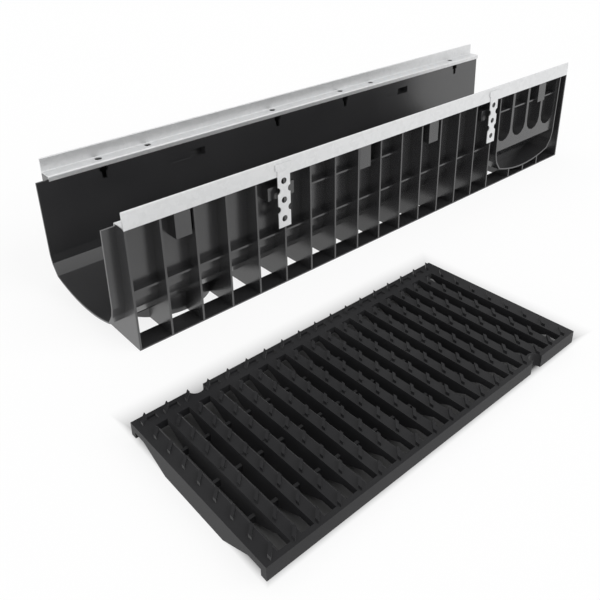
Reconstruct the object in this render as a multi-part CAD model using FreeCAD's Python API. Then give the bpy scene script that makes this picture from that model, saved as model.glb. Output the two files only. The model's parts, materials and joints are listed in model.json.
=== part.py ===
import FreeCAD, Part
import math
import os

# Drainage channel: a ribbed plastic trough with a folded steel rail on each edge, perforated anchor
# straps, and one half-length grating that lies beside it. Millimetres, +Z up. The origin is the middle
# of the base, X runs along the channel from its spigot end to its socket end, and -Y is the front.

Vector = FreeCAD.Vector
os.makedirs("parts", exist_ok=True)

# Overall size of the channel, measured over its rails
LENGTH = 1000.0
WIDTH = 242.0
HEIGHT = 200.0

# Steel rail: a folded sheet with a doubled upright, a ledge for the grating and a turned-down lip
SHEET = 1.5
RAIL_SKIRT = 25.0
LEDGE_DROP = 21.0
LEDGE_REACH = 24.5
LIP_DROP = 8.0
BEND = 1.0
LOCK_HOLE = 11.0
LOCK_INSET = 10.5
FRONT_LOCKS = (1, 4, 5)
REAR_LOCKS = (1, 2, 5)

# Trough: wall, draft and the four heights of its section, as half widths and heights of the outside
WALL = 3.0
TOP_HALF = 99.7
FOOT_HALF = 96.7
FOOT_Z = 60.0
BAND_HEAD_HALF = 93.0
BAND_HEAD_Z = 46.0
BAND_FOOT_HALF = 81.0
BAND_FOOT_Z = 30.0
FLOOR_Z = 17.5

# Ends of the trough: the spigot of one channel pushes into the socket of the next
SPIGOT = 18.5
SPIGOT_DROP = 3.5
SOCKET_FIT = 0.5

# Ribs, base strips and shelves
BAY = 50.0
RIB = 3.0
STRIP = 33.0
STRIP_THICK = 2.0
SHELF_INSET = 12.0
SHELF_THICK = 3.0
MID_SHELF_Z = 80.0
UPPER_SHELF_DROP = 38.5
UPPER_SHELF_BAYS = (6, 10)

# Lock pockets behind the rails, one sixth of a grating from each of its ends
GRATINGS = 2
POCKETS = (1, 5)
POCKET_HALF = 12.0
POCKET_INSET = 2.5
POCKET_DROP = 40.5
POCKET_WALL = 2.2
MOUTH_HALF = 7.0
MOUTH_DROP = 14.5
STEM_HALF = 4.0
STEM_DROP = 25.5
WINDOW_HALF = 6.0

# Bosses behind the anchor straps, with a stepped slot on the inside of the trough
STRAP_STATION = 250.0
BOSS_HALF = 24.0
BOSS_INSET = 8.0
BOSS_DROP = 39.5
BOSS_HEIGHT = 20.0
SLOT_DROP = 34.5
SLOT_TALL = 13.0
SLOT_LOW = 5.0
SLOT_HEAD = 12.0
SLOT_STEP = -17.0
SLOT_TAIL = -55.0
SLOT_SHALLOW = 1.5

# Side knock-out, its middle measured from the socket end, with the outline of the trough
KNOCKOUT_STATION = 125.0
KNOCKOUT_GROW = 4.5
KNOCKOUT_DEPTH = 45.0
PANEL_INSET = 5.0
PANEL_FOOT_Z = 64.0
ARCH_GAP = 7.0
ARCH_FOOT_Z = 82.0
ARCH_STEPS = 6
KNOCKOUT_BAR_DROP = 37.0
KNOCKOUT_BAR_INSET = 8.0
KNOCKOUT_RIBS = 3

# Outlet collar under the spigot end, closed by the floor of the trough
OUTLET_STATION = 99.0
OUTLET_RADIUS = 80.0
OUTLET_WALL = 3.0
OUTLET_TOP = 31.0
OUTLET_EDGE_HALF = 76.0
OUTLET_EDGE_Z = 25.0
OUTLET_EDGE_LENGTH = 175.0

# Anchor straps, their heights measured from the top of the rail and from their own foot
STRAP_WIDTH = 26.0
STRAP_THICK = 1.5
STRAP_LENGTH = 88.5
STRAP_HEAD_DROP = 18.0
HEAD_WIDTH = 33.0
HEAD_HEIGHT = 12.0
HEAD_THICK = 2.5
HEAD_CHAMFER = 3.0
STRAP_HOLE = 9.0
STRAP_HOLES = 3
HOLE_SIDES = 12
STRAP_PITCH = 29.5
STRAP_HOLE_RISE = 14.5
STRAP_NOTCH = 4.0
NOTCH_FLOOR = 2.0

# Grating: crosswise bars between two rims, with slanted studs on top and a deep belly below
GRATING_FIT = 1.0
GRATING_BELLY = 10.0
GRATING_ROWS = 18
BAR = 16.0
BAR_FLAT = 12.5
BAR_DROP = 4.0
END_PLATE = 5.0
FRONT_RIM = 6.0
REAR_RIM = 22.0
FOOT = 8.0
RECESS_Z = 18.0
BELLY_FOOT = 26.0
BELLY_SLOPE = 40.0
WEBS = (-57.5, 0.0, 57.5)
WEB = 4.0
WEB_FOOT_Z = 6.0
WEB_HEAD_Z = 14.0
STUD_RISE = 4.0
STUD_RUN = 9.5
STUD_WIDTH = 5.0
STUD_INSET = 2.5
STUD_PITCH = 28.7
STUD_REAR = 24.0
LATCH_RADIUS = 10.0
LATCH_WALL = 3.0

# Where the grating lies beside the channel
GRATING_LEAD = 86.0
GRATING_GAP = 137.0

# Sizes that follow from the ones above. Those below the rail hang from it.
START = -LENGTH / 2
END = LENGTH / 2
SIDE = WIDTH / 2
UPRIGHT = 2 * SHEET
LEDGE_Z = HEIGHT - LEDGE_DROP
RIM_Z = LEDGE_Z - SHEET
LIP_Z = LEDGE_Z - LIP_DROP
FLANGE_Z = RIM_Z - WALL
SPIGOT_TOP = RIM_Z - SPIGOT_DROP
UPPER_SHELF_Z = RIM_Z - UPPER_SHELF_DROP
POCKET_FOOT_Z = RIM_Z - POCKET_DROP
MOUTH_Z = RIM_Z - MOUTH_DROP
STEM_Z = RIM_Z - STEM_DROP
BOSS_Z = RIM_Z - BOSS_DROP
SLOT_Z = RIM_Z - SLOT_DROP
KNOCKOUT_BAR_Z = RIM_Z - KNOCKOUT_BAR_DROP
KNOCKOUT_MIDDLE = END - KNOCKOUT_STATION
WALL_OUT = max(TOP_HALF, FOOT_HALF)
WALL_IN = min(TOP_HALF, FOOT_HALF)
STRAP_HEAD_Z = HEIGHT - STRAP_HEAD_DROP
STRAP_FOOT_Z = STRAP_HEAD_Z - STRAP_LENGTH
STRAP_HOLE_Z = STRAP_FOOT_Z + STRAP_HOLE_RISE
SOCKET_DEPTH = SPIGOT + 2 * SOCKET_FIT
GRATING_MODULE = LENGTH / GRATINGS
GRATING_LENGTH = GRATING_MODULE - 2 * GRATING_FIT
GRATING_WIDTH = WIDTH - 2 * UPRIGHT - 2 * GRATING_FIT
GRATING_TOP = GRATING_BELLY + LEDGE_DROP - STUD_RISE
SLACK = 0.1
BEYOND = 5.0


def box(x0, x1, y0, y1, z0, z1):
    """A block between two corners."""
    return Part.makeBox(x1 - x0, y1 - y0, z1 - z0, Vector(x0, y0, z0))


def mirrored(shape):
    """The same shape on the other side of the channel."""
    return shape.mirror(Vector(0, 0, 0), Vector(0, 1, 0))


def both_sides(shapes):
    """Shapes modelled on the front side, with their copies at the back."""
    return shapes + [mirrored(shape) for shape in shapes]


def joined(shapes):
    """One solid from shapes that meet or overlap."""
    return shapes[0].multiFuse(shapes[1:]).removeSplitter()


def without(shape, tools):
    """A shape less its cuts, taken one after the other."""
    for tool in tools:
        shape = shape.cut(tool)
    return shape.removeSplitter()


def polygon(points):
    """A flat face through a closed list of points."""
    return Part.Face(Part.makePolygon(points + [points[0]]))


def wall_half(z):
    """Half width over the outside of the trough's drafted walls at one height."""
    return FOOT_HALF + (TOP_HALF - FOOT_HALF) * (z - FOOT_Z) / (HEIGHT - FOOT_Z)


def trough_section(grow, top):
    """The U of the trough in the YZ plane, closed along its top, with its outside moved out by grow."""
    slope = math.atan2(BAND_HEAD_Z - BAND_FOOT_Z, BAND_HEAD_HALF - BAND_FOOT_HALF)
    out, down = grow * math.sin(slope), grow * math.cos(slope)
    floor = Vector(0, 0, FLOOR_Z - grow)
    band_foot = Vector(0, BAND_FOOT_HALF + out, BAND_FOOT_Z - down)
    band_head = Vector(0, BAND_HEAD_HALF + out, BAND_HEAD_Z - down)
    wall_foot = Vector(0, FOOT_HALF + grow, FOOT_Z)
    wall_top = Vector(0, wall_half(top) + grow, top)

    def back(point):
        return Vector(0, -point.y, point.z)

    edges = [
        Part.makeLine(wall_top, wall_foot),
        Part.makeLine(wall_foot, band_head),
        Part.makeLine(band_head, band_foot),
        Part.Arc(band_foot, floor, back(band_foot)).toShape(),
        Part.makeLine(back(band_foot), back(band_head)),
        Part.makeLine(back(band_head), back(wall_foot)),
        Part.makeLine(back(wall_foot), back(wall_top)),
        Part.makeLine(back(wall_top), wall_top),
    ]
    return Part.Face(Part.Wire(edges))


def trough_run(grow, top, x0, x1):
    """The filled section of the trough between two places along X."""
    return trough_section(grow, top).translate(Vector(x0, 0, 0)).extrude(Vector(x1 - x0, 0, 0))


def knockout_run(grow, top, y0, y1):
    """The same section turned to face sideways, at the knock-out."""
    face = trough_section(grow, top)
    face.rotate(Vector(0, 0, 0), Vector(0, 0, 1), 90)
    face.translate(Vector(KNOCKOUT_MIDDLE, y0, 0))
    return face.extrude(Vector(0, y1 - y0, 0))


def rib_places():
    """Middle of each crosswise rib: full ones up to the knock-out, and short ones below it."""
    reach = TOP_HALF + KNOCKOUT_GROW
    full = int((KNOCKOUT_MIDDLE - reach - START) // BAY)
    places = [START + RIB / 2] + [START + BAY * k for k in range(1, full + 1)]
    places += [KNOCKOUT_MIDDLE + BAY * (k - (KNOCKOUT_RIBS - 1) / 2) for k in range(KNOCKOUT_RIBS)]
    return places + [END - RIB / 2]


def lock_places(sixths):
    """Places counted in sixths of a grating, for each of the gratings that one channel holds."""
    return [START + GRATING_MODULE * (place + k / 6) for place in range(GRATINGS) for k in sixths]


def lock_hole(x, z):
    """An upright cutter for one lock hole at the front, reaching past a height both ways."""
    return Part.makeCylinder(LOCK_HOLE / 2, 2 * BEYOND, Vector(x, -SIDE + LOCK_INSET, z - BEYOND))


def strap_places():
    """Middle of each anchor strap along X."""
    return [START + STRAP_STATION, END - STRAP_STATION]


def underframe():
    """Crosswise ribs and base strips, opened by the outlet collar and the side knock-outs."""
    ribs = [box(x - RIB / 2, x + RIB / 2, -SIDE, SIDE, 0, RIM_Z - WALL / 2) for x in rib_places()]
    strip = box(START, END, -SIDE, -SIDE + STRIP, 0, STRIP_THICK)
    rim = knockout_run(KNOCKOUT_GROW, FLANGE_Z, -SIDE, -SIDE + KNOCKOUT_DEPTH)
    frame = joined(ribs + both_sides([strip, rim]))
    bore = Part.makeCylinder(
        OUTLET_RADIUS - OUTLET_WALL, HEIGHT, Vector(START + OUTLET_STATION, 0, -BEYOND)
    )
    hollow = knockout_run(KNOCKOUT_GROW - WALL, HEIGHT, -SIDE - BEYOND, -SIDE + KNOCKOUT_DEPTH - WALL)
    return without(frame, [bore] + both_sides([hollow]))


def shelves():
    """Lengthwise shelves between the ribs on the front side."""
    middle_end = KNOCKOUT_MIDDLE - FOOT_HALF - KNOCKOUT_GROW + WALL / 2
    front = -SIDE + SHELF_INSET
    back = -WALL_IN + WALL / 2
    first, last = UPPER_SHELF_BAYS
    low = MID_SHELF_Z - SHELF_THICK / 2
    high = UPPER_SHELF_Z - SHELF_THICK / 2
    return [
        box(START, middle_end, front, back, low, low + SHELF_THICK),
        box(START + first * BAY, START + last * BAY, front, back, high, high + SHELF_THICK),
    ]


def knockout_panel():
    """Ribbed panel inside the front knock-out: four recesses with round feet and a crosswise bar."""
    front = -SIDE + PANEL_INSET
    back = -WALL_IN
    middle = KNOCKOUT_MIDDLE
    panel = knockout_run(KNOCKOUT_GROW - WALL / 2, FLANGE_Z, front, back)
    reach = TOP_HALF + KNOCKOUT_GROW
    below = box(middle - reach, middle + reach, front - BEYOND, back + BEYOND, 0, PANEL_FOOT_Z)
    radius = (BAY - ARCH_GAP) / 2
    depth = back - front + 2 * BEYOND
    arches = []
    for k in range(KNOCKOUT_RIBS + 1):
        x = middle + BAY * (k - KNOCKOUT_RIBS / 2)
        centre = ARCH_FOOT_Z + radius
        outline = [(x + radius, HEIGHT), (x - radius, HEIGHT)]
        for step in range(ARCH_STEPS + 1):
            turn = math.pi * (1 + step / ARCH_STEPS)
            outline.append((x + radius * math.cos(turn), centre + radius * math.sin(turn)))
        face = polygon([Vector(px, front - BEYOND, pz) for px, pz in outline])
        arches.append(face.extrude(Vector(0, depth, 0)))
    bar_half = WALL_IN + KNOCKOUT_GROW - WALL
    bar = box(
        middle - bar_half, middle + bar_half, -SIDE + KNOCKOUT_BAR_INSET, back,
        KNOCKOUT_BAR_Z, KNOCKOUT_BAR_Z + SHELF_THICK,
    )
    return [without(panel, [below] + arches), bar]


def pocket(x):
    """Outside of one lock pocket on the front side."""
    front = -SIDE + POCKET_INSET
    return box(x - POCKET_HALF, x + POCKET_HALF, front, -WALL_IN, POCKET_FOOT_Z, RIM_Z)


def pocket_hollow(x):
    """Hollow of one lock pocket, with its T-shaped mouth into the trough."""
    half = POCKET_HALF - POCKET_WALL
    front = -SIDE + POCKET_INSET + POCKET_WALL
    face = -WALL_OUT
    inner = -WALL_IN + WALL + BEYOND
    room = box(x - half, x + half, front, face, POCKET_FOOT_Z + POCKET_WALL, RIM_Z + SLACK)
    mouth = box(x - MOUTH_HALF, x + MOUTH_HALF, face - SLACK, inner, MOUTH_Z, LIP_Z + SLACK)
    stem = box(x - STEM_HALF, x + STEM_HALF, face - SLACK, inner, STEM_Z, MOUTH_Z + SLACK)
    return [room, mouth, stem]


def flange_window(x):
    """A square window in the front flange, under the lock hole that has no pocket."""
    y = -SIDE + LOCK_INSET
    return box(
        x - WINDOW_HALF, x + WINDOW_HALF, y - WINDOW_HALF, y + WINDOW_HALF, FLANGE_Z - SLACK, RIM_Z + SLACK
    )


def strap_boss(x):
    """Boss behind one anchor strap, on the outside of the trough."""
    front = -SIDE + BOSS_INSET
    return box(x - BOSS_HALF, x + BOSS_HALF, front, -WALL_IN, BOSS_Z, BOSS_Z + BOSS_HEIGHT)


def strap_slot(x):
    """Stepped slot on the inside of the trough: deep at its head, shallow along its tail."""
    inner = -WALL_IN + WALL + BEYOND
    deep = -SIDE + BOSS_INSET + WALL
    shallow = -wall_half(SLOT_Z) + WALL - SLOT_SHALLOW
    head = box(x + SLOT_STEP, x + SLOT_HEAD, deep, inner, SLOT_Z, SLOT_Z + SLOT_TALL)
    tail = box(x + SLOT_TAIL, x + SLOT_STEP, shallow, inner, SLOT_Z, SLOT_Z + SLOT_LOW)
    return [head, tail]


def outlet():
    """Collar of the bottom outlet, and the straight edge that stiffens the floor beside it."""
    x = START + OUTLET_STATION
    collar = Part.makeCylinder(OUTLET_RADIUS, OUTLET_TOP, Vector(x, 0, 0))
    bore = Part.makeCylinder(OUTLET_RADIUS - OUTLET_WALL, OUTLET_TOP, Vector(x, 0, 0))
    edge = box(
        START, START + OUTLET_EDGE_LENGTH, -OUTLET_EDGE_HALF, OUTLET_EDGE_HALF,
        OUTLET_EDGE_Z, BAND_FOOT_Z,
    )
    return [collar.cut(bore), edge.cut(trough_run(-WALL / 2, HEIGHT, START - BEYOND, END))]


def front_mouldings():
    """Everything on the front of the trough above its base: flange, shelves, panel, pockets and bosses."""
    flange = box(START, END, -SIDE + SHEET + SLACK, -WALL_IN, FLANGE_Z, RIM_Z)
    pockets = [pocket(x) for x in lock_places(POCKETS)]
    bosses = [strap_boss(x) for x in strap_places()]
    return joined([flange] + shelves() + knockout_panel() + pockets + bosses)


def channel_body():
    """The moulded channel: one piece of plastic."""
    trough = joined([
        trough_run(0, RIM_Z, START, END),
        trough_run(0, SPIGOT_TOP, START - SPIGOT, START),
        trough_run(SOCKET_FIT + WALL, RIM_Z, END - SOCKET_DEPTH - WALL, END),
    ])
    body = joined([joined([trough, underframe()])] + outlet())
    for mouldings in both_sides([front_mouldings()]):
        body = joined([body, mouldings])

    lip_half = SIDE - LEDGE_REACH + SHEET + SLACK
    body = without(body, [
        trough_run(-WALL, HEIGHT, START - SPIGOT - BEYOND, END + BEYOND),
        trough_run(SOCKET_FIT, HEIGHT, END - SOCKET_DEPTH, END + BEYOND),
        box(START, END, -lip_half, lip_half, LIP_Z - SLACK, HEIGHT),
    ])
    hollows = [joined(pocket_hollow(x)) for x in lock_places(POCKETS)]
    hollows += [joined(strap_slot(x)) for x in strap_places()]
    body = body.cut(both_sides(hollows))
    windows = [flange_window(x) for x in lock_places([k for k in FRONT_LOCKS if k not in POCKETS])]
    windows += [
        mirrored(flange_window(x)) for x in lock_places([k for k in REAR_LOCKS if k not in POCKETS])
    ]
    return body.cut(windows).removeSplitter()


def rail_section():
    """The folded sheet of the front rail, seen along X, with y measured from the outer face."""
    top = HEIGHT - SHEET
    outer_bend = SHEET + BEND

    def at(y, z):
        return Vector(0, -SIDE + y, z)

    def arc(centre_y, centre_z, radius, first, last):
        points = []
        for angle in (first, (first + last) / 2, last):
            turn = math.radians(angle)
            points.append(at(centre_y + radius * math.cos(turn), centre_z + radius * math.sin(turn)))
        return Part.Arc(*points).toShape()

    bend_y = LEDGE_REACH - outer_bend
    bend_z = LEDGE_Z - outer_bend
    edges = [
        Part.makeLine(at(0, HEIGHT - RAIL_SKIRT), at(0, top)),
        arc(SHEET, top, SHEET, 180, 0),
        Part.makeLine(at(UPRIGHT, top), at(UPRIGHT, LEDGE_Z + BEND)),
        arc(UPRIGHT + BEND, LEDGE_Z + BEND, BEND, 180, 270),
        Part.makeLine(at(UPRIGHT + BEND, LEDGE_Z), at(bend_y, LEDGE_Z)),
        arc(bend_y, bend_z, outer_bend, 90, 0),
        Part.makeLine(at(LEDGE_REACH, bend_z), at(LEDGE_REACH, LIP_Z)),
        Part.makeLine(at(LEDGE_REACH, LIP_Z), at(LEDGE_REACH - SHEET, LIP_Z)),
        Part.makeLine(at(LEDGE_REACH - SHEET, LIP_Z), at(LEDGE_REACH - SHEET, bend_z)),
        arc(bend_y, bend_z, BEND, 0, 90),
        Part.makeLine(at(bend_y, RIM_Z), at(SHEET, RIM_Z)),
        Part.makeLine(at(SHEET, RIM_Z), at(SHEET, HEIGHT - RAIL_SKIRT)),
        Part.makeLine(at(SHEET, HEIGHT - RAIL_SKIRT), at(0, HEIGHT - RAIL_SKIRT)),
    ]
    return Part.Face(Part.Wire(edges))


def edge_rail(sixths):
    """The front rail, with a lock hole at each of the given sixths of the two gratings."""
    face = rail_section().translate(Vector(START, 0, 0))
    rail = face.extrude(Vector(LENGTH, 0, 0))
    return rail.cut([lock_hole(x, LEDGE_Z) for x in lock_places(sixths)])


def anchor_strap(x):
    """One perforated strap on the outer face of the front rail, with its pressed head."""
    face = -SIDE
    leg = box(
        x - STRAP_WIDTH / 2, x + STRAP_WIDTH / 2, face - STRAP_THICK, face, STRAP_FOOT_Z, STRAP_HEAD_Z
    )
    head = box(
        x - HEAD_WIDTH / 2, x + HEAD_WIDTH / 2, face - HEAD_THICK, face,
        STRAP_HEAD_Z, STRAP_HEAD_Z + HEAD_HEIGHT,
    )
    corners = [e for e in head.Edges if abs(e.BoundBox.YLength - HEAD_THICK) < SLACK]
    head = head.makeChamfer(HEAD_CHAMFER, corners)
    cuts = []
    for k in range(STRAP_HOLES):
        z = STRAP_HOLE_Z + k * STRAP_PITCH
        turns = [2 * math.pi * (step + 0.5) / HOLE_SIDES for step in range(HOLE_SIDES)]
        radius = STRAP_HOLE / 2
        outlines = [[(x + radius * math.cos(turn), z + radius * math.sin(turn)) for turn in turns]]
        for side in (-1, 1) if k else ():
            edge = x + side * STRAP_WIDTH / 2
            floor = edge - side * STRAP_NOTCH
            middle = z - STRAP_PITCH / 2
            outlines.append([
                (edge, middle - STRAP_NOTCH), (floor, middle - NOTCH_FLOOR),
                (floor, middle + NOTCH_FLOOR), (edge, middle + STRAP_NOTCH),
            ])
        for outline in outlines:
            cut = polygon([Vector(px, face - HEAD_THICK, pz) for px, pz in outline])
            cuts.append(cut.extrude(Vector(0, 2 * HEAD_THICK, 0)))
    return without(leg.fuse(head), cuts)


def grating_envelope():
    """Everything between the grating's top and its underside: two feet, two recesses and a belly."""
    half = GRATING_WIDTH / 2
    side = [
        (half, GRATING_BELLY), (half - FOOT, GRATING_BELLY), (half - FOOT, RECESS_Z),
        (half - BELLY_FOOT, RECESS_Z), (half - BELLY_FOOT - BELLY_SLOPE, 0),
    ]
    points = [(half, GRATING_TOP)] + side + [(-y, z) for y, z in reversed(side)] + [(-half, GRATING_TOP)]
    section = polygon([Vector(0, y, z) for y, z in points])
    return section.extrude(Vector(GRATING_LENGTH, 0, 0))


def grating_bars():
    """Crosswise bars, sharp at their near edge and bevelled at the far one; the end ones are wider."""
    half = GRATING_WIDTH / 2
    pitch = (GRATING_LENGTH - 2 * END_PLATE - BAR) / (GRATING_ROWS - 1)
    starts = [END_PLATE + pitch * k for k in range(GRATING_ROWS)]
    bars = []
    for x in starts[:-1]:
        near = 0 if x == starts[0] else x
        points = [(near, 0), (near, GRATING_TOP), (x + BAR_FLAT, GRATING_TOP)]
        points += [(x + BAR, GRATING_TOP - BAR_DROP), (x + BAR, 0)]
        section = polygon([Vector(px, -half, pz) for px, pz in points])
        bars.append(section.extrude(Vector(0, GRATING_WIDTH, 0)))
    bars.append(box(starts[-1], GRATING_LENGTH, -half, half, 0, GRATING_TOP))
    return bars, starts


def stud(x, y):
    """A stud that runs slantwise over a bar, from its near end at x and y."""
    left, right = y + STUD_WIDTH / 2, y - STUD_WIDTH / 2
    base = GRATING_TOP - SLACK
    outline = [(x, right), (x + STUD_RUN, right + STUD_RUN), (x + STUD_RUN, left + STUD_RUN), (x, left)]
    face = polygon([Vector(px, py, base) for px, py in outline])
    return face.extrude(Vector(0, 0, STUD_RISE + SLACK))


def grating():
    """One half-length grating, standing on its belly."""
    half = GRATING_WIDTH / 2
    bars, starts = grating_bars()
    rims = [
        box(0, GRATING_LENGTH, -half, -half + FRONT_RIM, 0, GRATING_TOP),
        box(0, GRATING_LENGTH, half - REAR_RIM, half, 0, GRATING_TOP),
    ]
    webs = [
        box(0, GRATING_LENGTH, y - WEB / 2, y + WEB / 2, WEB_FOOT_Z, WEB_HEAD_Z) for y in WEBS
    ]
    sixth = GRATING_MODULE / 6
    latches = [(sixth, half), (GRATING_LENGTH - sixth, -half)]
    walls = [Part.makeCylinder(LATCH_RADIUS + LATCH_WALL, GRATING_TOP, Vector(x, y, 0)) for x, y in latches]
    frame = joined(bars + rims + webs + walls).common(grating_envelope())
    across = int((GRATING_WIDTH - STUD_REAR - STUD_WIDTH) // STUD_PITCH) + 1
    studs = [
        stud(x + STUD_INSET, half - STUD_REAR - STUD_PITCH * k) for x in starts for k in range(across)
    ]
    cuts = [Part.makeCylinder(LATCH_RADIUS, HEIGHT, Vector(x, y, 0)) for x, y in latches]
    whole = without(joined([frame] + studs), cuts)
    whole.translate(Vector(START - GRATING_LEAD, -SIDE - GRATING_GAP - half, 0))
    return whole


def save(name, shape):
    """Write one node and print what it holds."""
    shape.exportStep("parts/" + name + ".step")
    print(name, "solids", len(shape.Solids), "valid", shape.isValid(), "cm3", round(shape.Volume / 1000, 1))


def main():
    """Build and write every node."""
    save("channel_body", channel_body())
    save("front_edge_rail", edge_rail(FRONT_LOCKS))
    save("rear_edge_rail", mirrored(edge_rail(REAR_LOCKS)))
    for where, x in zip(("spigot_end", "socket_end"), strap_places()):
        save("front_anchor_strap_" + where, anchor_strap(x))
        save("rear_anchor_strap_" + where, mirrored(anchor_strap(x)))
    save("grating", grating())


main()
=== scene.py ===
import json
import math

import bmesh
import bpy
from mathutils import Matrix, Vector


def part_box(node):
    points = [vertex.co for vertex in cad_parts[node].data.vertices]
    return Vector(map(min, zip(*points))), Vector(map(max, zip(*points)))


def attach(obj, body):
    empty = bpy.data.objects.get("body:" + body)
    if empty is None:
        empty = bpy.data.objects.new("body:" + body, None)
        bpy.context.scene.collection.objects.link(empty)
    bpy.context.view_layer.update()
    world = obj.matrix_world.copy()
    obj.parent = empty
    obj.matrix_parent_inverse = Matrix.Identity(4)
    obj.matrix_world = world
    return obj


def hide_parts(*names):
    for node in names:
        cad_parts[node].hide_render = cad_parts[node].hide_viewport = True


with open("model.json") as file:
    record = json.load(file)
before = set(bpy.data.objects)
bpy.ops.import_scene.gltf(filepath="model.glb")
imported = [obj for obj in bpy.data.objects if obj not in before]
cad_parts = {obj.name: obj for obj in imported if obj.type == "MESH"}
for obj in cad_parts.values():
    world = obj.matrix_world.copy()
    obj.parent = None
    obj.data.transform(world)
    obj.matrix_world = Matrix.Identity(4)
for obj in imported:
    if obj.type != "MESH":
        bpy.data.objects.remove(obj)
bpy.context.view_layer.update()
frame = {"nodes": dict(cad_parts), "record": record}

scene = bpy.context.scene
scene.view_settings.view_transform = "Standard"

# Lengths are in metres and angles in degrees, unless a comment says otherwise

# Camera: where it stands and its three directions, solved from the photograph
CAMERA_PLACE = (-0.82241, -0.82211, 0.56096)
CAMERA_RIGHT = (0.753274, -0.65743, -0.019076)
CAMERA_UP = (0.292817, 0.309253, 0.904777)
CAMERA_FORWARD = (0.588928, 0.687131, -0.425459)
CLIP_START = 0.01

# Image size, focal length and the row of the camera's axis in pixels, and the sensor in millimetres
IMAGE = 600
FOCAL = 700.56
AXIS_ROW = 200
SENSOR = 36

# Lamps: name, the side that each shines from, strength and spread
LAMPS = (
    ("front", (1.2, -2.2, 1.5), 1.6, 50),
    ("top", (-0.5, -0.3, 2.6), 0.9, 90),
    ("left", (-2.4, -0.9, 0.6), 0.8, 40),
)
AMBIENT = 0.45
WHITE = (1, 1, 1, 1)

# Floor: its size, height and shade, and the share of white that it gives off by itself
FLOOR_HALF = 12
FLOOR_Z = -0.0003
FLOOR_SHADE = 0.93
FLOOR_GLOW = 0.85

# Its painted shadow under the grating, a darker floor colour: from just inside the near sides, fading out
# past the far ones
PAINTED_SHADOW = 0.15
UNDER_EDGE = 0.012
UNDER_REACH = 0.06

# Reflections from closer than this are taken as the grating's own
NEAR_GLOSS = 0.08

# Moulded plastics: what differs between the channel and the grating
PLASTICS = {
    "channel_plastic": {
        "dark": (0.022, 0.022, 0.023),
        "light": (0.027, 0.027, 0.028),
        "roughness": 0.24,
        "sheen": 0.75,
        "grain_scale": 900,
        "grain_depth": 0.0001,
    },
    "grating_plastic": {
        "dark": (0.012, 0.012, 0.013),
        "light": (0.018, 0.018, 0.019),
        "roughness": 0.45,
        "sheen": 0.12,
        "grain_scale": 1200,
        "grain_depth": 0.0002,
    },
}

# Moulded plastics: what they share
PLASTIC_IOR = 1.6
FLOW_SCALE = 9
FLOW_DETAIL = 3
FLOW_STOPS = (0.35, 0.65)
GLOSS_SWING = 0.05
GRAIN_DETAIL = 2
GRAIN_STRENGTH = 0.35

# Galvanised steel: crystals, their wavy outlines, and how unlike they are in shade and roughness
CRYSTAL_SCALE = 150
WAVE_SCALE = 120
WAVE_SHARE = 0.006
STEEL_DARK = (0.69, 0.695, 0.70)
STEEL_LIGHT = (0.735, 0.74, 0.745)
STEEL_ROUGHNESS = (0.40, 0.50)
STEEL_METALLIC = 0.7

# Edge rails: how far their outer faces are from the middle, and how much farther the drawn ones stand
RAIL_FACE = 0.121
RAIL_PROUD = 0.00008

# Anchor straps: places across a strap count from its station, and heights from the ground
STRAP_STATION = 0.25
STRAP_LEFT = -0.013
STRAP_RIGHT = 0.0097
STRAP_MIDDLE = -0.0017
STRAP_FOOT = 0.0947
STRAP_THICK = 0.0015

# The holes go up from the lowest one by the pitch
STRAP_HOLE = 0.108
STRAP_HOLES = 3
STRAP_PITCH = 0.0295
HOLE_RADIUS = 0.0049
HOLE_POINTS = 24

# The notches' centres lie outside the strap's sides, and a little above halfway between two holes
NOTCH_RADIUS = 0.0054
NOTCH_OUT = 0.0009
NOTCH_LIFT = 0.0012
NOTCH_STEPS = 12

# The head, and the softened edges of all sheets
HEAD_LEFT = -0.0165
HEAD_RIGHT = 0.0131
HEAD_FOOT = 0.1845
HEAD_TOP = 0.194
HEAD_CORNER = 0.0012
HEAD_CORNER_STEPS = 4
HEAD_THICK = 0.002
SOFT_EDGE = 0.0002

# Grating: its bars count from its end towards the spigot
BARS = 18
BAR_TOP = 0.027
BAR_START = 0.005
BAR_PITCH = 0.472 / (BARS - 1)

# Points closer than the weld are one point, and a face that reaches higher above the bars belongs to a stud
WELD = 0.00001
ABOVE_BAR = 0.0001

# How far studs and marks reach down into a bar
ROOT = 0.0005

# Studs: their rows count from the rear rim, and the lead is from the bar's edge
STUD_ROWS = 9
STUD_PITCH = 0.0271
STUD_INSET = 0.0073
STUD_LEAD = 0.0025
STUD_RUN = 0.0095
STUD_HALF = 0.0025

# Recesses: one for each gap, placed from the bar before it and from the rear rim
RECESS_PLACE = 0.018
RECESS_INSET = 0.0095
RECESS_RUN = 0.0045
RECESS_HALF = 0.004
RECESS_DEPTH = 0.003
RECESS_STEPS = 10

# The latch notch in the rear rim, and the room around it that has no recess
LATCH_PLACE = 0.0833
LATCH_CLEAR = 0.02

# Marks: each V's two starts and its tip, from the bar's edge and from the grating's middle line
MARK_STARTS = ((0.001, 0), (0.006, -0.0035))
MARK_TIP = (0.0125, 0.003)
MARK_WIDE = 0.0016
MARK_RISE = 0.0008


def add_object(name, data):
    """A new object in the scene for a mesh, a lamp or a camera."""
    made = bpy.data.objects.new(name, data)
    scene.collection.objects.link(made)
    return made


def add_camera():
    """The photograph's viewpoint."""
    data = bpy.data.cameras.new("camera")
    data.sensor_width = SENSOR
    data.lens = FOCAL * SENSOR / IMAGE
    data.shift_y = -(IMAGE / 2 - AXIS_ROW) / IMAGE
    data.clip_start = CLIP_START
    camera = add_object("camera", data)
    right, up, forward = Vector(CAMERA_RIGHT), Vector(CAMERA_UP), Vector(CAMERA_FORWARD)
    turn = Matrix((right, up, -forward)).transposed().to_4x4()
    camera.matrix_world = Matrix.Translation(CAMERA_PLACE) @ turn
    scene.camera = camera


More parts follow.
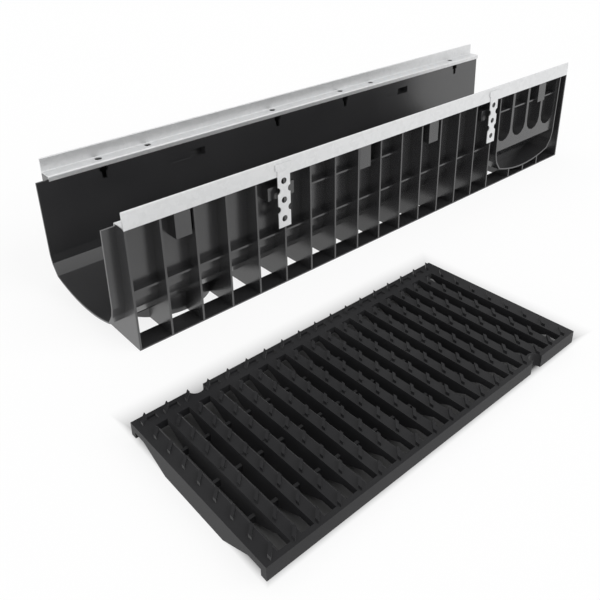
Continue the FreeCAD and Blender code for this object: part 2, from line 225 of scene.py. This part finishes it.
def add_light(name, place, strength, spread):
    """A wide studio light from one side. Gloss mirrors the white surroundings instead of the lamp."""
    data = bpy.data.lights.new(name, "SUN")
    data.energy = strength
    data.angle = math.radians(spread)
    lamp = add_object(name, data)
    lamp.location = place
    lamp.rotation_euler = (-Vector(place)).to_track_quat("-Z", "Y").to_euler()
    lamp.visible_glossy = False


class Graph:
    """Short names for building the nodes of a material or of the world."""

    def __init__(self, tree):
        self.tree = tree
        self.tree.nodes.clear()

    def node(self, kind, inputs=None, **settings):
        """A new node. Each input gets a value, or a link where the output of another node is given."""
        made = self.tree.nodes.new(kind)
        for key, value in settings.items():
            setattr(made, key, value)
        for key, value in (inputs or {}).items():
            if isinstance(value, bpy.types.NodeSocket):
                self.tree.links.new(value, made.inputs[key])
            else:
                made.inputs[key].default_value = value
        return made

    def combine(self, operation, first, second):
        """The output of one step of arithmetic on two values or outputs."""
        return self.node("ShaderNodeMath", {0: first, 1: second}, operation=operation).outputs[0]

    def ramp(self, fac, stops):
        """A colour that runs between two stops, each a position and a colour."""
        made = self.node("ShaderNodeValToRGB", {"Fac": fac})
        for element, (position, colour) in zip(made.color_ramp.elements, stops):
            element.position = position
            element.color = (*colour, 1)
        return made.outputs["Color"]


def new_material(name):
    """An empty material, and the graph for its nodes."""
    material = bpy.data.materials.new(name)
    material.use_nodes = True
    return material, Graph(material.node_tree)


def seen_directly(g):
    """One for rays that come from the camera, from gloss or through glass, and zero for all others."""
    path = g.node("ShaderNodeLightPath").outputs
    either = g.combine("MAXIMUM", path["Is Camera Ray"], path["Is Glossy Ray"])
    return g.combine("MAXIMUM", either, path["Is Transmission Ray"])


def add_world():
    """Soft even light, with a white background where the camera, gloss and glass see it."""
    world = bpy.data.worlds.new("studio")
    scene.world = world
    world.use_nodes = True
    g = Graph(world.node_tree)
    light = g.node("ShaderNodeBackground", {"Color": WHITE, "Strength": AMBIENT})
    white = g.node("ShaderNodeBackground", {"Color": WHITE, "Strength": 1})
    mix = g.node("ShaderNodeMixShader", {"Fac": seen_directly(g), 1: light.outputs[0], 2: white.outputs[0]})
    g.node("ShaderNodeOutputWorld", {"Surface": mix.outputs[0]})


def outside_grating(g):
    """Zero on the floor under the grating and one elsewhere, with soft edges between them; it places the
    floor's painted shadow.
    """
    low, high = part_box("grating")
    place = g.node("ShaderNodeTexCoord")
    split = g.node("ShaderNodeSeparateXYZ", {0: place.outputs["Object"]})
    sides = []
    for axis in (0, 1):
        for dark, bright in ((low[axis] + UNDER_EDGE, low[axis]), (high[axis], high[axis] + UNDER_REACH)):
            limits = {"From Min": dark, "From Max": bright, "Value": split.outputs[axis]}
            sides.append(g.node("ShaderNodeMapRange", limits).outputs["Result"])
    outside = sides[0]
    for side in sides[1:]:
        outside = g.combine("MAXIMUM", outside, side)
    return outside


def add_floor():
    """A pale floor that looks white in the open and keeps the object's shadow, with a painted shadow under
    and past the grating.
    """
    mesh = bpy.data.meshes.new("floor")
    corners = [(x * FLOOR_HALF, y * FLOOR_HALF, FLOOR_Z) for x, y in ((-1, -1), (1, -1), (1, 1), (-1, 1))]
    mesh.from_pydata(corners, [], [(0, 1, 2, 3)])
    floor = add_object("floor", mesh)
    material, g = new_material("floor")
    outside = outside_grating(g)
    # The floor colour is darker under the grating and just past its far sides: a painted shadow
    shades = {"Color1": (*[PAINTED_SHADOW] * 3, 1), "Color2": (*[FLOOR_SHADE] * 3, 1), "Fac": outside}
    matt = g.node("ShaderNodeBsdfDiffuse", {"Color": g.node("ShaderNodeMixRGB", shades).outputs["Color"]})
    glow = g.node("ShaderNodeEmission", {"Color": WHITE, "Strength": 1})

    # Under the grating the floor gives off no light towards the camera or towards gloss close above it
    path = g.node("ShaderNodeLightPath").outputs
    near = g.combine("LESS_THAN", path["Ray Length"], NEAR_GLOSS)
    from_grating = g.combine("MULTIPLY", path["Is Glossy Ray"], near)
    dim = g.combine("MAXIMUM", path["Is Camera Ray"], from_grating)
    shaded = g.combine("MULTIPLY", dim, g.combine("SUBTRACT", 1, outside))
    open_floor = g.combine("SUBTRACT", seen_directly(g), shaded)
    share = g.combine("MULTIPLY", open_floor, FLOOR_GLOW)

    mix = g.node("ShaderNodeMixShader", {"Fac": share, 1: matt.outputs[0], 2: glow.outputs[0]})
    g.node("ShaderNodeOutputMaterial", {"Surface": mix.outputs[0]})
    mesh.materials.append(material)


def moulded_plastic(name, dark, light, roughness, sheen, grain_scale, grain_depth):
    """Black moulded plastic: slow changes of shade and gloss, and the fine grain of the mould."""
    material, g = new_material(name)
    place = g.node("ShaderNodeTexCoord").outputs["Object"]
    flow = g.node("ShaderNodeTexNoise", {"Scale": FLOW_SCALE, "Detail": FLOW_DETAIL, "Vector": place})
    swing = {"To Min": roughness - GLOSS_SWING, "To Max": roughness + GLOSS_SWING}
    gloss = g.node("ShaderNodeMapRange", {**swing, "Value": flow.outputs["Fac"]})
    grain = g.node("ShaderNodeTexNoise", {"Scale": grain_scale, "Detail": GRAIN_DETAIL, "Vector": place})
    relief = {"Strength": GRAIN_STRENGTH, "Distance": grain_depth, "Height": grain.outputs["Fac"]}
    shader = g.node("ShaderNodeBsdfPrincipled", {
        "IOR": PLASTIC_IOR,
        "Specular IOR Level": sheen,
        "Base Color": g.ramp(flow.outputs["Fac"], zip(FLOW_STOPS, (dark, light))),
        "Roughness": gloss.outputs["Result"],
        "Normal": g.node("ShaderNodeBump", relief).outputs["Normal"],
    })
    g.node("ShaderNodeOutputMaterial", {"Surface": shader.outputs[0]})
    return material


def galvanised_steel():
    """Zinc-coated sheet: flat crystals a few millimetres across, slightly unlike in shade and gloss."""
    material, g = new_material("galvanised_steel")
    place = g.node("ShaderNodeTexCoord").outputs["Object"]
    wave = g.node("ShaderNodeTexNoise", {"Scale": WAVE_SCALE, "Vector": place})
    mixed = {"Fac": WAVE_SHARE, "Color1": place, "Color2": wave.outputs["Color"]}
    bend = g.node("ShaderNodeMixRGB", mixed, blend_type="LINEAR_LIGHT")
    cells = {"Scale": CRYSTAL_SCALE, "Vector": bend.outputs["Color"]}
    crystals = g.node("ShaderNodeTexVoronoi", cells, feature="F1")
    pick = g.node("ShaderNodeSeparateColor", {"Color": crystals.outputs["Color"]})
    smooth, rough = STEEL_ROUGHNESS
    gloss = g.node("ShaderNodeMapRange", {"To Min": smooth, "To Max": rough, "Value": pick.outputs[1]})
    shader = g.node("ShaderNodeBsdfPrincipled", {
        "Metallic": STEEL_METALLIC,
        "Base Color": g.ramp(pick.outputs[0], ((0, STEEL_DARK), (1, STEEL_LIGHT))),
        "Roughness": gloss.outputs["Result"],
    })
    g.node("ShaderNodeOutputMaterial", {"Surface": shader.outputs[0]})
    return material


def add_rail(node, material):
    """A rail whose outer face stands a hair proud of the ends of the ribs behind it."""
    data = frame["nodes"][node].data.copy()
    data.name = node + "_sheet"
    for vertex in data.vertices:
        if abs(vertex.co.y) > RAIL_FACE - RAIL_PROUD:
            vertex.co.y += math.copysign(RAIL_PROUD, vertex.co.y)
    rail = add_object(node + "_sheet", data)
    data.materials.clear()
    data.materials.append(material)
    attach(rail, "root")
    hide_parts(node)


def arc_points(centre, radius, first, last, steps):
    """Points along an arc between two angles."""
    points = []
    for step in range(steps + 1):
        turn = math.radians(first + (last - first) * step / steps)
        points.append((centre[0] + radius * math.cos(turn), centre[1] + radius * math.sin(turn)))
    return points


def head_outline():
    """Outline of a strap's head, a rectangle with rounded corners."""
    left, right = HEAD_LEFT + HEAD_CORNER, HEAD_RIGHT - HEAD_CORNER
    foot, top = HEAD_FOOT + HEAD_CORNER, HEAD_TOP - HEAD_CORNER
    points = []
    for x, z, turn in ((right, top, 0), (left, top, 90), (left, foot, 180), (right, foot, 270)):
        points += arc_points((x, z), HEAD_CORNER, turn, turn + 90, HEAD_CORNER_STEPS)
    return points


def strap_outline():
    """Outline of a strap's leg, with rounded notches in both sides between the holes."""
    points = [(STRAP_LEFT, STRAP_FOOT), (STRAP_RIGHT, STRAP_FOOT)]
    opening = math.degrees(math.acos(NOTCH_OUT / NOTCH_RADIUS))
    heights = [STRAP_HOLE + STRAP_PITCH * (k + 0.5) + NOTCH_LIFT for k in range(STRAP_HOLES - 1)]
    for z in heights:
        centre = (STRAP_RIGHT + NOTCH_OUT, z)
        points += arc_points(centre, NOTCH_RADIUS, 180 + opening, 180 - opening, NOTCH_STEPS)
    points += [(STRAP_RIGHT, HEAD_FOOT), (STRAP_LEFT, HEAD_FOOT)]
    for z in reversed(heights):
        centre = (STRAP_LEFT - NOTCH_OUT, z)
        points += arc_points(centre, NOTCH_RADIUS, opening, -opening, NOTCH_STEPS)
    return points


def strap_holes():
    """Outlines of the round holes in a strap's leg."""
    last = 360 - 360 / HOLE_POINTS
    centres = [(STRAP_MIDDLE, STRAP_HOLE + STRAP_PITCH * k) for k in range(STRAP_HOLES)]
    return [arc_points(centre, HOLE_RADIUS, 0, last, HOLE_POINTS - 1) for centre in centres]


def plate(outlines, thick):
    """Mesh of a flat sheet with softened edges from a closed outline and its holes, lying in XY."""
    data = bpy.data.curves.new("outline", "CURVE")
    data.dimensions = "2D"
    data.fill_mode = "BOTH"
    data.extrude = thick / 2 - SOFT_EDGE
    data.bevel_depth = SOFT_EDGE
    data.bevel_resolution = 1
    data.offset = -SOFT_EDGE
    for outline in outlines:
        spline = data.splines.new("POLY")
        spline.points.add(len(outline) - 1)
        for point, (x, y) in zip(spline.points, outline):
            point.co = (x, y, 0, 1)
        spline.use_cyclic_u = True
    carrier = bpy.data.objects.new("outline", data)
    mesh = bpy.data.meshes.new_from_object(carrier)
    bpy.data.objects.remove(carrier)
    bpy.data.curves.remove(data)
    return mesh


def add_strap(node, station, side, material):
    """One anchor strap in place of its plain solid: side is -1 at the front and 1 at the back."""
    mesh = bmesh.new()
    for outlines, thick in (([strap_outline()] + strap_holes(), STRAP_THICK), ([head_outline()], HEAD_THICK)):
        sheet = plate(outlines, thick)
        sheet.transform(Matrix.Translation((0, 0, thick / 2)))
        mesh.from_mesh(sheet)
        bpy.data.meshes.remove(sheet)
    # The flat sheet is stood up against the outer face of its rail
    stand = Matrix(((1, 0, 0, station), (0, 0, side, side * RAIL_FACE), (0, 1, 0, 0), (0, 0, 0, 1)))
    bmesh.ops.transform(mesh, matrix=stand, verts=mesh.verts)
    bmesh.ops.recalc_face_normals(mesh, faces=mesh.faces)
    data = bpy.data.meshes.new(node + "_sheet")
    mesh.to_mesh(data)
    mesh.free()
    strap = add_object(node + "_sheet", data)
    data.materials.append(material)
    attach(strap, "root")
    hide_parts(node)


def prism(mesh, outline, foot, head):
    """Add a closed upright block over an outline."""
    low = [mesh.verts.new((x, y, foot)) for x, y in outline]
    high = [mesh.verts.new((x, y, head)) for x, y in outline]
    mesh.faces.new(low)
    mesh.faces.new(high)
    for k in range(len(outline)):
        after = (k + 1) % len(outline)
        mesh.faces.new((low[k], low[after], high[after], high[k]))


def stroke(start, end, wide):
    """Outline of a straight mark of one width between two points."""
    along = Vector((end[0] - start[0], end[1] - start[1])).normalized() * wide / 2
    return [
        (start[0] + along.y, start[1] - along.x), (end[0] + along.y, end[1] - along.x),
        (end[0] - along.y, end[1] + along.x), (start[0] - along.y, start[1] + along.x),
    ]


def bare_grating():
    """The grating's own mesh with its studs taken off and their places closed."""
    mesh = bmesh.new()
    mesh.from_mesh(frame["nodes"]["grating"].data)
    bmesh.ops.remove_doubles(mesh, verts=mesh.verts, dist=WELD)
    raised = [face for face in mesh.faces if max(v.co.z for v in face.verts) > BAR_TOP + ABOVE_BAR]
    bmesh.ops.delete(mesh, geom=raised, context="FACES")
    rims = [edge for edge in mesh.edges if edge.is_boundary]
    bmesh.ops.holes_fill(mesh, edges=rims, sides=0)
    bmesh.ops.recalc_face_normals(mesh, faces=mesh.faces)
    return mesh


def recess_cutter(low, high):
    """One block for each rounded recess along the rear rim, with none beside the latch notch."""
    mesh = bmesh.new()
    for k in range(BARS - 1):
        middle = low.x + BAR_START + BAR_PITCH * k + RECESS_PLACE
        if abs(middle - low.x - LATCH_PLACE) < LATCH_CLEAR:
            continue
        y = high.y - RECESS_INSET
        left = arc_points((middle - RECESS_RUN, y), RECESS_HALF, 90, 270, RECESS_STEPS)
        right = [(middle + RECESS_RUN, y - RECESS_HALF), (middle + RECESS_RUN, y + RECESS_HALF)]
        prism(mesh, left + right, BAR_TOP - RECESS_DEPTH, BAR_TOP + RECESS_DEPTH)
    bmesh.ops.recalc_face_normals(mesh, faces=mesh.faces)
    return mesh


def carve_recesses(low, high):
    """The bare grating as an object, and its mesh with the recesses cut out."""
    pieces = []
    for name, mesh in (("grating_dressed", bare_grating()), ("recess_cutter", recess_cutter(low, high))):
        data = bpy.data.meshes.new(name)
        mesh.to_mesh(data)
        mesh.free()
        pieces.append(add_object(name, data))
    grating, cutter = pieces
    cut = grating.modifiers.new("recesses", "BOOLEAN")
    cut.object = cutter
    cut.solver = "EXACT"
    carved = bpy.data.meshes.new_from_object(grating.evaluated_get(bpy.context.evaluated_depsgraph_get()))
    grating.modifiers.clear()
    bpy.data.objects.remove(cutter)
    return grating, carved


def add_studs(mesh, x, high):
    """The slanted studs on one bar, from the rear rim to the front one."""
    corners = [(0, -1), (1, -1), (1, 1), (0, 1)]
    for row in range(STUD_ROWS):
        y = high.y - STUD_INSET - STUD_PITCH * row
        outline = [
            (x + STUD_LEAD + a * STUD_RUN, y + (a - 0.5) * STUD_RUN + b * STUD_HALF) for a, b in corners
        ]
        prism(mesh, outline, BAR_TOP - ROOT, high.z)


def add_mark(mesh, x, middle):
    """The raised V halfway along one bar, of two strokes that meet at its tip."""
    tip = (x + MARK_TIP[0], middle + MARK_TIP[1])
    for x_step, y_step in MARK_STARTS:
        start = (x + x_step, middle + y_step)
        prism(mesh, stroke(start, tip, MARK_WIDE), BAR_TOP - ROOT, BAR_TOP + MARK_RISE)


def add_grating(material):
    """The grating with the studs, recesses and marks of the photograph, in place of the plainer solid."""
    low, high = (Vector(corner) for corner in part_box("grating"))
    grating, carved = carve_recesses(low, high)
    mesh = bmesh.new()
    mesh.from_mesh(carved)
    for k in range(BARS):
        x = low.x + BAR_START + BAR_PITCH * k
        add_studs(mesh, x, high)
        if 0 < k < BARS - 1:
            add_mark(mesh, x, (low.y + high.y) / 2)
    bmesh.ops.recalc_face_normals(mesh, faces=mesh.faces)
    mesh.to_mesh(grating.data)
    mesh.free()
    grating.data.materials.clear()
    grating.data.materials.append(material)
    # Hidden from gloss, because the photograph shows no reflection of it on the channel
    grating.visible_glossy = False
    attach(grating, "root")
    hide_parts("grating")


def dress_nodes():
    """Materials for all slots, and finer pieces in place of the rails, the straps and the grating."""
    finishes = {name: moulded_plastic(name, **values) for name, values in PLASTICS.items()}
    finishes["galvanised_steel"] = galvanised_steel()
    for side, place in ((-1, "front"), (1, "rear")):
        add_rail(place + "_edge_rail", finishes["galvanised_steel"])
        for station, end in ((-STRAP_STATION, "spigot_end"), (STRAP_STATION, "socket_end")):
            node = place + "_anchor_strap_" + end
            add_strap(node, station, side, finishes["galvanised_steel"])
    for part in frame["record"]["subparts"]:
        node = frame["nodes"][part["node"]]
        for place in node.material_slots:
            place.material = finishes[part["material_slot"]]
    add_grating(finishes["grating_plastic"])


add_camera()
add_world()
add_floor()
for lamp in LAMPS:
    add_light(*lamp)
dress_nodes()
